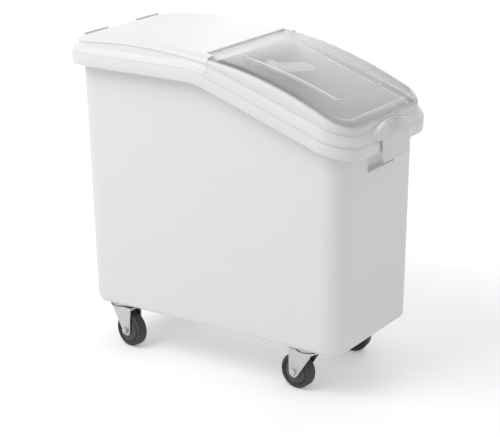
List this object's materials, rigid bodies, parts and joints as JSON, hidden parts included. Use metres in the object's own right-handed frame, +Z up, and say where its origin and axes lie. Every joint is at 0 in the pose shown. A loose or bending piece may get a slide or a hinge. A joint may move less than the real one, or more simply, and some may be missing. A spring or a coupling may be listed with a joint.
{
  "type": "rolling ingredient bin",
  "caption": "Wheeled flour bin: deep white tub with a sloping front rim, fixed rear cover, hinged clear front lid with a raised panel and pull, and swivel casters.",
  "frame": {"origin": "on the ground, under the middle of the bounding box", "axes": "+X to the front, the low end with the clear lid; +Z up; +Y to the bin's left"},
  "size_m": [0.7116, 0.3736, 0.7],
  "materials": {
    "white_polyethylene": "satin",
    "clear_polycarbonate": "clear gloss",
    "strip_rubber": "matte",
    "stainless_steel": "brushed",
    "zinc_steel": "zinc plated",
    "hub_plastic": "satin",
    "tyre_rubber": "matte"
  },
  "bodies": {
    "bin": {"tub": "white_polyethylene", "rear_cover": "white_polyethylene", "right_hinge_pin": "stainless_steel", "left_hinge_pin": "stainless_steel", "lid_rest_strips": "strip_rubber", "caster_bolts": "zinc_steel", "caster_washers": "zinc_steel", "caster_cap_nuts": "zinc_steel", "front_right_plate": "zinc_steel", "front_left_plate": "zinc_steel", "rear_right_plate": "zinc_steel", "rear_left_plate": "zinc_steel", "front_right_kingpin": "zinc_steel", "front_left_kingpin": "zinc_steel", "rear_right_kingpin": "zinc_steel", "rear_left_kingpin": "zinc_steel", "front_right_balls": "zinc_steel", "front_left_balls": "zinc_steel", "rear_right_balls": "zinc_steel", "rear_left_balls": "zinc_steel"},
    "lid": {"front_lid": "clear_polycarbonate", "scoop_clip": "clear_polycarbonate"},
    "front_right_swivel": {"front_right_fork": "zinc_steel", "front_right_axle_bolt": "zinc_steel", "front_right_axle_nut": "zinc_steel", "front_right_sleeve": "zinc_steel"},
    "front_right_wheel": {"front_right_hub": "hub_plastic", "front_right_tyre": "tyre_rubber"},
    "front_left_swivel": {"front_left_fork": "zinc_steel", "front_left_axle_bolt": "zinc_steel", "front_left_axle_nut": "zinc_steel", "front_left_sleeve": "zinc_steel"},
    "front_left_wheel": {"front_left_hub": "hub_plastic", "front_left_tyre": "tyre_rubber"},
    "rear_right_swivel": {"rear_right_fork": "zinc_steel", "rear_right_axle_bolt": "zinc_steel", "rear_right_axle_nut": "zinc_steel", "rear_right_sleeve": "zinc_steel"},
    "rear_right_wheel": {"rear_right_hub": "hub_plastic", "rear_right_tyre": "tyre_rubber"},
    "rear_left_swivel": {"rear_left_fork": "zinc_steel", "rear_left_axle_bolt": "zinc_steel", "rear_left_axle_nut": "zinc_steel", "rear_left_sleeve": "zinc_steel"},
    "rear_left_wheel": {"rear_left_hub": "hub_plastic", "rear_left_tyre": "tyre_rubber"}
  },
  "joints": [
    {"name": "lid_hinge", "type": "hinge", "parent": "bin", "child": "lid", "pos_m": [0.00691, 0, 0.68078], "axis": [0, -1, 0], "range_deg": [0, 105]},
    {"name": "front_right_swivel_turn", "type": "hinge", "parent": "bin", "child": "front_right_swivel", "pos_m": [0.23091, -0.12, 0.09], "axis": [0, 0, 1], "continuous": true},
    {"name": "front_right_wheel_roll", "type": "hinge", "parent": "front_right_swivel", "child": "front_right_wheel", "pos_m": [0.20312, -0.11659, 0.0375], "axis": [0.1219, 0.9925, 0], "continuous": true},
    {"name": "front_left_swivel_turn", "type": "hinge", "parent": "bin", "child": "front_left_swivel", "pos_m": [0.23091, 0.12, 0.09], "axis": [0, 0, 1], "continuous": true},
    {"name": "front_left_wheel_roll", "type": "hinge", "parent": "front_left_swivel", "child": "front_left_wheel", "pos_m": [0.20318, 0.1161, 0.0375], "axis": [-0.1392, 0.9903, 0], "continuous": true},
    {"name": "rear_right_swivel_turn", "type": "hinge", "parent": "bin", "child": "rear_right_swivel", "pos_m": [-0.25009, -0.12, 0.09], "axis": [0, 0, 1], "continuous": true},
    {"name": "rear_right_wheel_roll", "type": "hinge", "parent": "rear_right_swivel", "child": "rear_right_wheel", "pos_m": [-0.2227, -0.12582, 0.0375], "axis": [-0.2079, -0.9781, 0], "continuous": true},
    {"name": "rear_left_swivel_turn", "type": "hinge", "parent": "bin", "child": "rear_left_swivel", "pos_m": [-0.25009, 0.12, 0.09], "axis": [0, 0, 1], "continuous": true},
    {"name": "rear_left_wheel_roll", "type": "hinge", "parent": "rear_left_swivel", "child": "rear_left_wheel", "pos_m": [-0.22224, 0.11707, 0.0375], "axis": [-0.1045, -0.9945, 0], "continuous": true}
  ]
}
